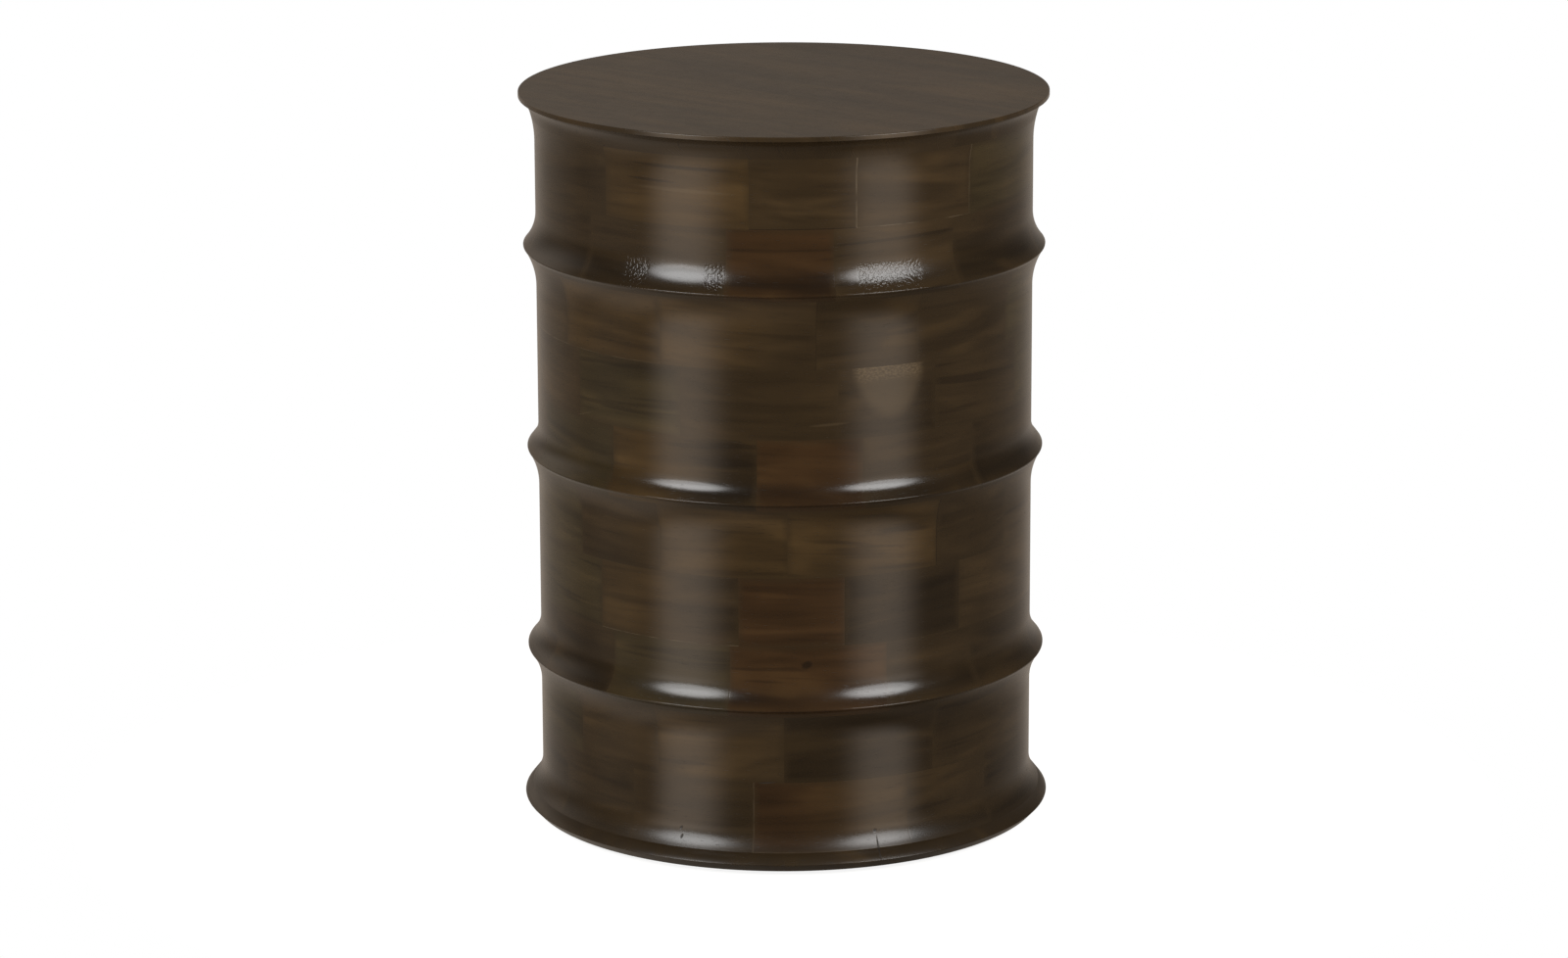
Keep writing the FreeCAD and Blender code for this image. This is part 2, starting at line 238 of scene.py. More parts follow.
# %% [markdown]
# ## Turning a section with Geometry Nodes
# Every ring, the top and the base are the same job: a section swept once round the axis. A Geometry Nodes tree
# does what the lathe does. It takes the section as a curve and sweeps it along a circle as large as the wall, so
# the section is drawn from the wall's face. The number of steps is 360, one for each degree, so a block's end
# always falls on a step. Edges sharper than the crease stay crisp and the rest is shaded smooth.

# %% The lathe tree
lathe = bpy.data.node_groups.new("lathe", "GeometryNodeTree")
LATHE_INPUTS = {
    "Section": "NodeSocketObject",
    "Wall Radius": "NodeSocketFloat",
    "Steps Around": "NodeSocketInt",
    "Turn": "NodeSocketFloat",
    "Crease": "NodeSocketFloat",
    "Finish": "NodeSocketMaterial",
}
lathe_ids = {}
for name, kind in LATHE_INPUTS.items():
    lathe_ids[name] = lathe.interface.new_socket(name, in_out="INPUT", socket_type=kind).identifier
lathe.interface.new_socket("Turned", in_out="OUTPUT", socket_type="NodeSocketGeometry")

given = Wire(lathe).add("NodeGroupInput", out="Section")
section = given.add("GeometryNodeObjectInfo", {}, {"Object": given}, "Geometry")
circle = given.add(
    "GeometryNodeCurvePrimitiveCircle",
    {"mode": "RADIUS"},
    {"Resolution": given.other("Steps Around"), "Radius": given.other("Wall Radius")},
)
swept = given.add("GeometryNodeCurveToMesh", {}, {"Curve": circle, "Profile Curve": section})
heading = given.add("ShaderNodeCombineXYZ", {}, {"Z": given.other("Turn")})
placed = given.add("GeometryNodeTransform", {}, {"Geometry": swept, "Rotation": heading})
bend = given.add("GeometryNodeInputMeshEdgeAngle")
sharp = given.add(
    "FunctionNodeCompare",
    {"data_type": "FLOAT", "operation": "GREATER_THAN"},
    {0: bend, 1: given.other("Crease")},
)
soft = given.add(
    "GeometryNodeSetShadeSmooth", {"domain": "FACE"}, {"Geometry": placed, "Shade Smooth": True}
)
crisp = given.add(
    "GeometryNodeSetShadeSmooth",
    {"domain": "EDGE"},
    {"Geometry": soft, "Selection": sharp, "Shade Smooth": False},
)
real = given.add("GeometryNodeRealizeInstances", {}, {"Geometry": crisp})
dressed = given.add("GeometryNodeSetMaterial", {}, {"Geometry": real, "Material": given.other("Finish")})
given.add("NodeGroupOutput", {}, {"Turned": dressed})
print("lathe tree:", len(lathe.nodes), "nodes")


# %% Turn one piece
STEPS_AROUND = 360
CREASE = math.radians(38)
SAME_SPOT = 0.001 * MM
LEVEL_NORMAL = 0.999


def turned(name, section_points, closed, turn, finish):
    """A piece swept from its section, which is a row of radii and heights. The turn is in degrees."""
    drawing = bpy.data.curves.new(name + "_section", "CURVE")
    drawing.dimensions = "3D"
    spline = drawing.splines.new("POLY")
    spline.points.add(len(section_points) - 1)
    spline.use_cyclic_u = closed
    for point, (radius, height) in zip(spline.points, section_points):
        point.co = (radius - WALL, -height, 0, 1)
    section_object = bpy.data.objects.new(name + "_section", drawing)
    piece = bpy.data.objects.new(name, bpy.data.meshes.new(name))
    scene.collection.objects.link(section_object)
    scene.collection.objects.link(piece)
    modifier = piece.modifiers.new("lathe", "NODES")
    modifier.node_group = lathe
    values = (section_object, WALL, STEPS_AROUND, math.radians(turn - 90), CREASE, finish)
    for identifier, value in zip(lathe_ids.values(), values):
        modifier[identifier] = value
    evaluated = piece.evaluated_get(bpy.context.evaluated_depsgraph_get())
    mesh = bpy.data.meshes.new_from_object(evaluated)
    piece.modifiers.remove(modifier)
    piece.data = mesh
    bpy.data.objects.remove(section_object)
    close_and_turn_out(mesh)
    return piece


def close_and_turn_out(mesh):
    """Joins the ends of the sweep, closes what is open and turns all faces outwards."""
    shell = bmesh.new()
    shell.from_mesh(mesh)
    bmesh.ops.remove_doubles(shell, verts=shell.verts, dist=SAME_SPOT)
    open_edges = [edge for edge in shell.edges if edge.is_boundary]
    bmesh.ops.holes_fill(shell, edges=open_edges, sides=0)
    bmesh.ops.recalc_face_normals(shell, faces=shell.faces)
    shell.to_mesh(mesh)
    shell.free()
    keep_flat(mesh)


def keep_flat(mesh):
    """Shades level faces flat, so that a round edge beside one does not bend its light."""
    for face in mesh.polygons:
        if abs(face.normal.z) > LEVEL_NORMAL:
            face.use_smooth = False


# %% [markdown]
# ## The stained wood
# The blocks come from light and dark planks of one hardwood, sanded on the lathe, stained a dark brown and
# sealed with a satin lacquer. The stain sinks in unevenly, so some blocks stay amber or olive while others turn
# nearly black. One recipe makes all the wood here. It reads attributes that are stored on each piece: `grain`
# runs along and across the fibres in metres with a number for the block, `stain` is the block's own
# colour with a painted shade on the slopes over the beads and the foot and under the top's lip, `ends` and
# `seams` say how far the glue joints are and how they show, `marks` says where there is sapwood, a pitted face
# or a calm figure, and `rub` where the lacquer is rubbed. So the pattern follows the real blocks and goes with
# the mesh. Near the floor the lacquer has gone a little dull.

# %% Helpers for materials
def blank_material(name):
    """A material with no nodes yet, and a wire that adds them."""
    material = bpy.data.materials.new(name)
    material.use_nodes = True
    material.node_tree.nodes.clear()
    return material, Wire(material.node_tree)


def cover(sheet, sockets):
    """Ends a material's nodes with a surface that has these values."""
    surface = sheet.add("ShaderNodeBsdfPrincipled", {}, sockets)
    sheet.add("ShaderNodeOutputMaterial", {}, {"Surface": surface})


# %% Helpers for patterns
def noise(space, stretch, detail=2.0, rough=0.5, twist=0.0):
    """Soft random values, stretched along the axes of a space."""
    spot = space.add("ShaderNodeVectorMath", {"operation": "MULTIPLY"}, {0: space, 1: stretch})
    sockets = {"Vector": spot, "Scale": 1.0, "Detail": detail, "Roughness": rough, "Distortion": twist}
    return space.add("ShaderNodeTexNoise", {"noise_dimensions": "3D"}, sockets)


def step(value, low, high):
    """0 below low, 1 above high, and a soft slope between."""
    sockets = {"Value": value, "From Min": low, "From Max": high}
    return value.add("ShaderNodeMapRange", {"interpolation_type": "SMOOTHSTEP"}, sockets)


def tint(factor, first, second):
    """Goes from the first colour to the second."""
    return factor.add("ShaderNodeMix", {"data_type": "RGBA"}, {0: factor, 6: first, 7: second}, 2)


def scaled(colour, factor):
    """A colour made lighter or darker."""
    return factor.add("ShaderNodeVectorMath", {"operation": "SCALE"}, {0: colour, "Scale": factor})


# %% [markdown]
# Some small marks have a place of their own: a knot, dark cracks and pits, pale scratches, and two dark streaks
# under the rim. Each is an oval, given by its bearing in degrees, its height, length and thickness in mm, and its
# slant in degrees.

# %% Small marks on the wall
KNOT = (4.8, 161, 4.5, 3.2, 20)
DARK_MARKS = [
    (-4.3, 70.3, 7, 0.6, 4),
    (20.6, 17, 9, 0.6, 88),
    (20.4, 30, 1.5, 1.3, 0),
    (-24.4, 31, 1.5, 0.9, 60),
    (-24.0, 25, 1.8, 0.9, 70),
]
LIGHT_MARKS = [
    (-52, 335.6, 11, 0.5, 17),
    (10, 343, 15, 1.1, 3),
    (59, 250, 8, 0.4, 10),
    (-23, 515, 42, 1.6, -1),
]
STREAKS = [(-24, 532, 44, 1.5, -1), (-31, 521, 22, 1.2, -1)]


def oval(place, bearing, height, length, thickness, slant):
    """1 in the middle of an oval at a bearing in degrees and a height in mm, and 0 outside it."""
    east = place.add("ShaderNodeSeparateXYZ", {}, {0: place}, "X")
    turn = math.radians(slant)
    run = place.math("ARCTAN2", east, 0 - east.other("Y")) * WALL - math.radians(bearing) * WALL
    rise = east.other("Z") - height * MM
    along = (run * math.cos(turn) + rise * math.sin(turn)) / (length * MM)
    off = (rise * math.cos(turn) - run * math.sin(turn)) / (thickness * MM)
    return 1 - step(along * along + off * off, 0.1, 1.4)


# %% The wood recipe
ESPRESSO = (0.0085, 0.0052, 0.0028, 1)
GLAZE = (0.029, 0.0184, 0.008, 1)
HONEY = (0.098, 0.058, 0.02, 1)
SAPWOOD = (0.12, 0.086, 0.048, 1)
GLUE = (0.13, 0.1, 0.064, 1)
LINE_CORE, LINE_EDGE = 0.1 * MM, 0.75 * MM
DULL_LOW, DULL_HIGH = 14 * MM, 42 * MM


def stained_wood(name, satin, figure_depth, relief):
    """Dark stained wood: satin is its roughness, figure_depth the contrast of its grain, relief its bump."""
    material, sheet = blank_material(name)
    grain = sheet.add("ShaderNodeAttribute", {"attribute_name": "grain"}, out="Vector")
    stain = sheet.add("ShaderNodeAttribute", {"attribute_name": "stain"}, out="Color")
    ends = sheet.add("ShaderNodeAttribute", {"attribute_name": "ends"}, out="Vector")
    seams = sheet.add("ShaderNodeAttribute", {"attribute_name": "seams"}, out="Color")
    marks = sheet.add("ShaderNodeAttribute", {"attribute_name": "marks"}, out="Vector")
    rub = sheet.add("ShaderNodeAttribute", {"attribute_name": "rub"}, out="Fac")
    place = sheet.add("ShaderNodeTexCoord", out="Object")
    sappy = marks.add("ShaderNodeSeparateXYZ", {}, {0: marks}, "X")
    scuffed, calm = sappy.other("Y"), sappy.other("Z")

    broad = step(noise(grain, (9, 46, 1), 2, 0.5, 0.7), 0.3, 0.72)
    patch = noise(grain, (14, 18, 2), 2, 0.5, 0.6)
    streak = step(noise(grain, (7, 120, 3), 2, 0.5, 0.3), 0.3, 0.72)
    fibre = noise(grain, (40, 1300, 5), 2, 0.6)
    pore = step(noise(grain, (120, 1250, 7), 1, 0.5), 0.63, 0.73)
    cloud = noise(place, (11, 11, 11), 3, 0.55, 0.3)
    block = noise(grain, (0, 0, 0.37), 0)
    lively = step(noise(grain, (0, 0, 0.53), 0), 0.45, 0.6)

    figure = broad * 0.45 + patch * 0.27 + streak * 0.16 + fibre * 0.12
    wood = scaled(stain, (figure - 0.5) * (1 - calm) * figure_depth + 0.76 + cloud * 0.48)
    wood = tint(step(patch * broad, 0.34, 0.7) * 0.13, wood, HONEY)
    wood = tint(step(1 - streak, 0.78, 0.98) * (0.1 + lively * 0.3) * (1 - calm), wood, ESPRESSO)
    wood = tint(pore * 0.4, wood, ESPRESSO)

    near = ends.add("ShaderNodeSeparateXYZ", {}, {0: ends}, "X")
    far, rise = near.other("Y"), near.other("Z")
    fall = COURSE - rise
    inset = near.math("MINIMUM", near.math("MINIMUM", near, far), near.math("MINIMUM", rise, fall))
    hem = 1 - step(inset + (patch - 0.5) * (8 * MM), 0, 6 * MM)
    wood = tint(hem * 0.5, wood, GLAZE)

    wide = (near - far) / (62 * MM)
    deep = fall / (42 * MM)
    heart = 1 - step((wide * wide + deep * deep) ** 0.5 + (patch - 0.5) * 0.35, 0.74, 1.02)
    fleck = step(noise(grain, (420, 760, 19), 2), 0.4, 0.62) * (1 - step(deep, 0.12, 0.32))
    wood = tint(heart * sappy * (0.27 + fleck * 0.4), wood, SAPWOOD)

    kind = seams.add("ShaderNodeSeparateColor", {}, {0: seams}, "Red")
    lines = [
        (near, kind),
        (far, kind.other("Green")),
        (rise, kind.other("Blue")),
        (fall, seams.other("Alpha")),
    ]
    broken = step(noise(grain, (55, 55, 1), 2), 0.36, 0.6)
    joint = None
    for distance, shade in lines:
        line = 1 - step(distance, LINE_CORE, LINE_EDGE)
        wood = tint(line * step(shade, 0.5, 1.0) * broken, wood, GLUE)
        wood = tint(line * step(0.5 - shade, 0.05, 0.5), wood, ESPRESSO)
        joint = line if joint is None else joint + line

    wood = tint(oval(place, *KNOT) * 0.7, wood, ESPRESSO)
    pit = None
    for spot in DARK_MARKS:
        mark_here = oval(place, *spot)
        wood = tint(mark_here * 0.75, wood, ESPRESSO)
        pit = mark_here if pit is None else pit + mark_here
    for spot in LIGHT_MARKS:
        wood = tint(oval(place, *spot) * 0.18, wood, SAPWOOD)
    for spot in STREAKS:
        wood = tint(oval(place, *spot) * 0.55, wood, ESPRESSO)
    worn = rub * step(noise(grain, (60, 60, 2), 3), 0.4, 0.65)
    wood = tint(worn * 0.07, wood, HONEY)

    above_floor = place.add("ShaderNodeSeparateXYZ", {}, {0: place}, "Z")
    dull = 1 - step(above_floor, DULL_LOW, DULL_HIGH)
    rough = satin - 0.02 + (block - 0.5) * 0.06 + cloud * 0.04 + pore * 0.1 - worn * 0.03 + pit * 0.3
    rough = rough + dull * 0.11
    lathe_marks = noise(grain, (30, 700, 11), 1)
    chatter = step(noise(grain, (480, 430, 13), 1), 0.42, 0.58) * scuffed
    height = fibre * 0.004 + lathe_marks * 0.004 - pore * 0.012 - joint * 0.015 - chatter * 0.13 - pit * 0.2
    bump = height.add("ShaderNodeBump", {}, {"Strength": relief, "Distance": MM, "Height": height})
    cover(sheet, {"Base Color": wood, "Roughness": rough, "Normal": bump})
    return material


drum_wood = stained_wood("drum_wood", 0.18, 1.1, 0.6)
top_wood = stained_wood("top_wood", 0.25, 0.9, 0.5)
base_wood = stained_wood("base_wood", 0.18, 0.8, 0.6)
print("nodes in the drum's wood:", len(drum_wood.node_tree.nodes))


# %% [markdown]
# ## Marking the wood on a mesh
# A turned ring knows nothing about its blocks yet. Numpy reads the corners of its faces, works out which block
# each face belongs to, and stores the attributes that the wood recipe reads. Corner values are used, not vertex
# values, because two blocks share the vertices of their joint and still need their own colours there.

# %% Read and write a mesh
RUB_SPAN = 1.4 * MM
NO_JOINT = 0.02
PLAIN = 0.5
END_SLANT = 0.6


def corners_of(mesh):
    """The position of every face corner, and the number of its face."""
    points = np.empty(3 * len(mesh.vertices))
    mesh.vertices.foreach_get("co", points)
    index = np.empty(len(mesh.loops), dtype=np.int32)
    mesh.loops.foreach_get("vertex_index", index)
    counts = np.empty(len(mesh.polygons), dtype=np.int32)
    mesh.polygons.foreach_get("loop_total", counts)
    return points.reshape(-1, 3)[index], np.repeat(np.arange(len(counts)), counts)


def mark(mesh, **layers):
    """Stores one value for each corner: a number, a vector or a colour."""
    kinds = {1: ("FLOAT", "value"), 3: ("FLOAT_VECTOR", "vector"), 4: ("FLOAT_COLOR", "color")}
    for name, values in layers.items():
        values = np.asarray(values, dtype=np.float32)
        kind, field = kinds[1 if values.ndim == 1 else values.shape[1]]
        layer = mesh.attributes.new(name, kind, "CORNER")
        layer.data.foreach_set(field, values.ravel())


def rubbed(spots):
    """How much hands and feet have rubbed the wood: the noses, the lip and the foot's edge."""
    radius = np.hypot(spots[:, 0], spots[:, 1])
    rub = np.zeros(len(spots))
    for nose_radius, nose_height in noses:
        gap = np.hypot(radius - nose_radius, spots[:, 2] - nose_height)
        rub = np.maximum(rub, np.exp(-((gap / RUB_SPAN) ** 2)))
    return rub


# %% [markdown]
# ## Ten courses of blocks
# A course is twelve blocks, in four sets of a long, a short and a medium one, and each course is turned so that
# its joints miss those of its neighbours. The order in which light and dark blocks were glued up is written as
# one letter a block, from the long block where the course starts and going to the right.

# %% Block sizes and shades
BLOCKS = 12
BLOCK_STARTS = np.array([0, 36, 60])
BLOCK_SPANS = np.array([36, 24, 30])
SHADES = {
    "e": (0.0205, 0.0128, 0.0055),
    "u": (0.0275, 0.0172, 0.0074),
    "w": (0.0345, 0.0215, 0.0093),
    "r": (0.0350, 0.0178, 0.0066),
    "b": (0.0430, 0.0258, 0.0098),
    "o": (0.0360, 0.0252, 0.0106),
    "a": (0.0580, 0.0342, 0.0122),
}
COURSES = [
    (-43.8, "bwwouwrauwuu"),
    (-49.0, "urwueowauwru"),
    (-29.0, "buuowruwaewb"),
    (-24.0, "uuuorewouawo"),
    (-42.3, "arwuoaweauwo"),
    (0.5, "buwwuraweowb"),
    (-46.6, "brewwawoeruo"),
    (-12.6, "rwueewauwuuo"),
    (-0.4, "euwouaweuowb"),
    (-7.3, "rueweauwouuw"),
]
print("blocks of each shade:", {name: "".join(row for _, row in COURSES).count(name) for name in SHADES})

# %% [markdown]
# A few blocks are special. Some took the stain well at one end only, one shows pale sapwood, and some joints show
# as a light or a dark hairline: 0.5 shows nothing, more is lighter and less is darker. On the first bead the
# cutter jumped and left a pitted face under the lacquer. A block is named by its course and its number in the
# course. The slope over each bead and over the foot gets a painted shade, which makes it darker there.

# %% Odd blocks and joints
FADES = {(3, 1): "w", (5, 1): "e", (7, 1): "u", (9, 12): "w", (10, 1): "b", (10, 12): "u"}
UPRIGHT_LINES = {(1, 3): 0.78, (1, 4): 0.68, (10, 1): 0.66, (6, 2): 0.25, (3, 2): 0.3}
LEVEL_LINES = {
    (1, 1): 0.3,
    (1, 2): 0.12,
    (1, 3): 0.8,
    (3, 11): 0.8,
    (3, 12): 0.66,
    (7, 1): 0.8,
    (10, 1): 0.66,
}
SAP_BLOCK = (4, 2)
CHATTER = [(2, -38, -32), (2, -18, -14), (2, 16, 31)]
CHATTER_LOW, CHATTER_HIGH = 4 * MM, 26 * MM
# Painted shade on the slope over each nose: its height over the nose, its spread and its depth.
SLOPE_SHADE_RISE, SLOPE_SHADE_SPAN, SLOPE_SHADE_DEPTH = 8 * MM, 14 * MM, 0.48


# %% Lay the blocks on a ring
def lay_blocks(mesh, number, turn, shades, luck):
    """Tells every face corner of a course where it lies in its block and how that block looks."""
    spots, face = corners_of(mesh)
    azimuth = np.degrees(np.arctan2(spots[:, 0], -spots[:, 1]))
    faces = face.max() + 1
    centre = np.column_stack([np.bincount(face, spots[:, axis], faces) for axis in range(3)])
    middle = (np.degrees(np.arctan2(centre[:, 0], -centre[:, 1])) - turn) % 360
    kind = np.searchsorted(BLOCK_STARTS, middle % 90, side="right") - 1
    block = ((middle // 90).astype(int) * 3 + kind)[face]
    start = (block // 3) * 90 + BLOCK_STARTS[block % 3]
    along = np.radians((azimuth - turn - start + 180) % 360 - 180) * WALL
    length = np.radians(BLOCK_SPANS[block % 3]) * WALL
    up = spots[:, 2] - JOINTS[number]
    shade_luck = luck.uniform(0.93, 1.07, (BLOCKS, 1))
    slope = luck.uniform(-0.07, 0.07, BLOCKS)
    looks = luck.choice([0.5, 0.44, 0.38], BLOCKS, p=[0.6, 0.25, 0.15])
    level = luck.choice([0.5, 0.43, 0.36], (BLOCKS, 2), p=[0.6, 0.25, 0.15])
    sap = np.zeros(BLOCKS)
    first, last = np.empty((BLOCKS, 3)), np.empty((BLOCKS, 3))
    for index in range(BLOCKS):
        name = (number, index + 1)
        first[index] = SHADES[shades[index]] * shade_luck[index]
        last[index] = SHADES[FADES.get(name, shades[index])] * shade_luck[index]
        looks[index] = UPRIGHT_LINES.get(name, looks[index])
        level[index, 0] = LEVEL_LINES.get(name, level[index, 0])
        sap[index] = name == SAP_BLOCK
    fade = np.clip(1.8 * along / length - 0.4, 0, 1)[:, None]
    # Painted shade: the colour is darkened on the slope over each bead and over the foot.
    slope_shade_mask = np.zeros(len(spots))
    for _, nose_height in noses[1:]:
        off = np.abs(spots[:, 2] - nose_height - SLOPE_SHADE_RISE) / SLOPE_SHADE_SPAN
        slope_shade_mask = np.maximum(slope_shade_mask, 1 - off)
    slope_shade = 1 - SLOPE_SHADE_DEPTH * slope_shade_mask[:, None]
    scuffed = np.zeros(len(spots))
    for course, left, right in CHATTER:
        inside = (azimuth > left) & (azimuth < right) & (up > CHATTER_LOW) & (up < CHATTER_HIGH)
        scuffed += inside * (number == course)
    ones = np.ones(len(spots))
    mark(
        mesh,
        grain=np.column_stack((along, up + slope[block] * along, BLOCKS * number + block)),
        stain=np.column_stack((slope_shade * (first[block] * (1 - fade) + last[block] * fade), ones)),
        ends=np.column_stack((along, length - along, up)),
        seams=np.column_stack((looks[block], looks[(block + 1) % BLOCKS], level[block])),
        marks=np.column_stack((sap[block], scuffed, 0 * ones)),
        rub=rubbed(spots),
    )


# %% Turn the courses
luck = np.random.default_rng(4)
for number, (turn, shades) in enumerate(COURSES, start=1):
    face_rows = slice_of(JOINTS[number - 1], JOINTS[number])
    bore_rows = [(BORE, JOINTS[number]), (BORE, JOINTS[number - 1])]
    rows = np.vstack((face_rows, bore_rows))
    ring = turned(f"turned_course_{number:02d}", rows, True, turn, drum_wood)
    lay_blocks(ring.data, number, turn, shades, luck)
    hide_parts(f"course_{number:02d}")
    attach(ring, "root")
    low, high = ring.bound_box[0][2], ring.bound_box[6][2]
    print(ring.name, len(ring.data.polygons), "faces, z", round(low, 4), "to", round(high, 4))

# %% [markdown]
# ## The round top
# The top is glued up from five boards and turned to a thin lip. It is turned in one piece here too, and then cut
# along the four glue joints, so each board is a closed solid of its own with the rim running through it.

# %% Turn the top
TOP_EDGE = 0.6 * MM
BOARD_TURN = math.radians(-40)
BOARD_JOINTS = [-110.6, -30.6, 49.4, 129.4]
BEYOND_RIM = 0.25
EDGE_SPAN = 6 * MM
edge_round = arc(RIM - TOP_EDGE, HEIGHT - TOP_EDGE, TOP_EDGE, math.pi / 2, 0)
top_rows = np.vstack((edge_round, slice_of(RIM_LIP, JOINTS[0])))
disc = turned("round_top", top_rows, False, 0, top_wood)
along_board = np.array((math.cos(BOARD_TURN), math.sin(BOARD_TURN)))
across_board = np.array((-math.sin(BOARD_TURN), math.cos(BOARD_TURN)))
print("top:", len(disc.data.polygons), "faces")


# %% Cut the boards
def board_between(low, high, name):
    """The strip of the turned top between two joints, closed with flat faces."""
    cut = bmesh.new()
    cut.from_mesh(disc.data)
    normal = Vector((*across_board, 0))
    for offset, direction in ((low, -1), (high, 1)):
        everything = cut.verts[:] + cut.edges[:] + cut.faces[:]
        bmesh.ops.bisect_plane(
            cut, geom=everything, plane_co=normal * offset, plane_no=normal * direction, clear_outer=True
        )
        edges = [edge for edge in cut.edges if edge.is_boundary]
        filled = bmesh.ops.holes_fill(cut, edges=edges, sides=0)
        for face in filled["faces"]:
            face.smooth = False
            for edge in face.edges:
                edge.smooth = False
    bmesh.ops.recalc_face_normals(cut, faces=cut.faces)
    mesh = bpy.data.meshes.new(name)
    cut.to_mesh(mesh)
    cut.free()
    mesh.materials.append(top_wood)
    piece = bpy.data.objects.new(name, mesh)
    scene.collection.objects.link(piece)
    return piece


def mark_board(mesh, low, high, seed, stain, joint):
    """Marks the wood of one board. Its turned edge and the hollow under the lip get a painted shade, darker than
    the flat, and a calmer figure.
    """
    spots, _ = corners_of(mesh)
    along = spots[:, :2] @ along_board
    across = spots[:, :2] @ across_board
    ones = np.ones(len(spots))
    cove_here = np.clip((HEIGHT - spots[:, 2]) / EDGE_SPAN, 0, 1)
    mark(
        mesh,
        grain=np.column_stack((along, across + END_SLANT * (spots[:, 2] - HEIGHT), seed * ones)),
        # Painted shade: the colour is darker on the turned edge and in the hollow under the lip.
        stain=np.column_stack((np.outer(1.15 - 0.23 * cove_here, stain), ones)),
        ends=np.column_stack((across - low, high - across, NO_JOINT * ones)),
        seams=np.column_stack((joint[0] * ones, joint[1] * ones, PLAIN * ones, PLAIN * ones)),
        marks=np.column_stack((0 * ones, 0 * ones, 0.8 * cove_here)),
        rub=rubbed(spots),
    )


BOARD_SHADES = ["u", "w", "u", "w", "u"]
BOARD_SEAMS = [0.5, 0.36, 0.34, 0.4, 0.38, 0.5]
edges = [-BEYOND_RIM] + [offset * MM for offset in BOARD_JOINTS] + [BEYOND_RIM]
for index, shade in enumerate(BOARD_SHADES):
    board = board_between(edges[index], edges[index + 1], f"turned_board_{index + 1}")
    seam = BOARD_SEAMS[index : index + 2]
    mark_board(board.data, edges[index], edges[index + 1], 200 + 7 * index, SHADES[shade], seam)
    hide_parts(f"top_board_{index + 1}")
    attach(board, "root")
    corners = [[round(c, 3) for c in board.bound_box[corner][:2]] for corner in (0, 6)]
    print(board.name, "x, y:", *corners)
bpy.data.objects.remove(disc)

# %% [markdown]
# ## The base panel
# The base closes the drum from below, and its edge carries the lowest part of the flared foot. Eight flat-head
# screws hold it, so the panel has eight countersunk holes. Their cutter is one cone set out on a circle by
# Geometry Nodes, and a Boolean takes it out of the turned panel.

# %% A ring of cones
SCREWS = 8
SCREW_RING = 170 * MM
SCREW_HEAD, SCREW_SINK = 4.95 * MM, 2.4 * MM
FIRST_SCREW, SCREW_GAP = math.radians(-79.3), math.radians(57)
CONE_SIDES, CONE_TAPER = 48, 0.52

cutter_tree = bpy.data.node_groups.new("countersinks", "GeometryNodeTree")
cutter_ids = {}
for name in ("Ring Radius", "Head Radius", "Sink"):
    socket = cutter_tree.interface.new_socket(name, in_out="INPUT", socket_type="NodeSocketFloat")
    cutter_ids[name] = socket.identifier
cutter_tree.interface.new_socket("Cones", in_out="OUTPUT", socket_type="NodeSocketGeometry")
given = Wire(cutter_tree).add("NodeGroupInput", out="Ring Radius")
cone = given.add(
    "GeometryNodeMeshCone",
    {"fill_type": "NGON"},
    {
        "Vertices": CONE_SIDES,
        "Radius Top": given.other("Head Radius") * CONE_TAPER,
        "Radius Bottom": given.other("Head Radius"),
        "Depth": given.other("Sink"),
    },
)
spot = given.add("GeometryNodeMeshLine", {}, {"Count": SCREWS, "Offset": (0, 0, 0)})
number = given.add("GeometryNodeInputIndex")
quarter = number.math("FLOOR", number / 2, 0)
swing = quarter * math.radians(90) + (number - quarter * 2) * SCREW_GAP + FIRST_SCREW
reach = given.add(
    "ShaderNodeCombineXYZ",
    {},
    {
        "X": number.math("COSINE", swing, 0) * given,
        "Y": number.math("SINE", swing, 0) * given,
        "Z": GLIDE,
    },
)
placed = given.add("GeometryNodeSetPosition", {}, {"Geometry": spot, "Position": reach})
cones = given.add("GeometryNodeInstanceOnPoints", {}, {"Points": placed, "Instance": cone})
real = given.add("GeometryNodeRealizeInstances", {}, {"Geometry": cones})
dressed = given.add("GeometryNodeSetMaterial", {}, {"Geometry": real, "Material": base_wood})
given.add("NodeGroupOutput", {}, {"Cones": dressed})
print("countersink tree:", len(cutter_tree.nodes), "nodes")

# %% Turn the base and cut its holes
base_rows = slice_of(JOINTS[10], GLIDE)
base = turned("turned_base", base_rows, False, COURSES[9][0], base_wood)
cutter = bpy.data.objects.new("countersinks", bpy.data.meshes.new("countersinks"))
scene.collection.objects.link(cutter)
modifier = cutter.modifiers.new("countersinks", "NODES")
modifier.node_group = cutter_tree
for identifier, value in zip(cutter_ids.values(), (SCREW_RING, SCREW_HEAD, SCREW_SINK)):
    modifier[identifier] = value
holes = base.modifiers.new("holes", "BOOLEAN")
holes.operation = "DIFFERENCE"
holes.solver = "EXACT"
holes.object = cutter
bored = bpy.data.meshes.new_from_object(base.evaluated_get(bpy.context.evaluated_depsgraph_get()))
base.modifiers.remove(holes)
keep_flat(bored)
base.data = bored
bpy.data.objects.remove(cutter)

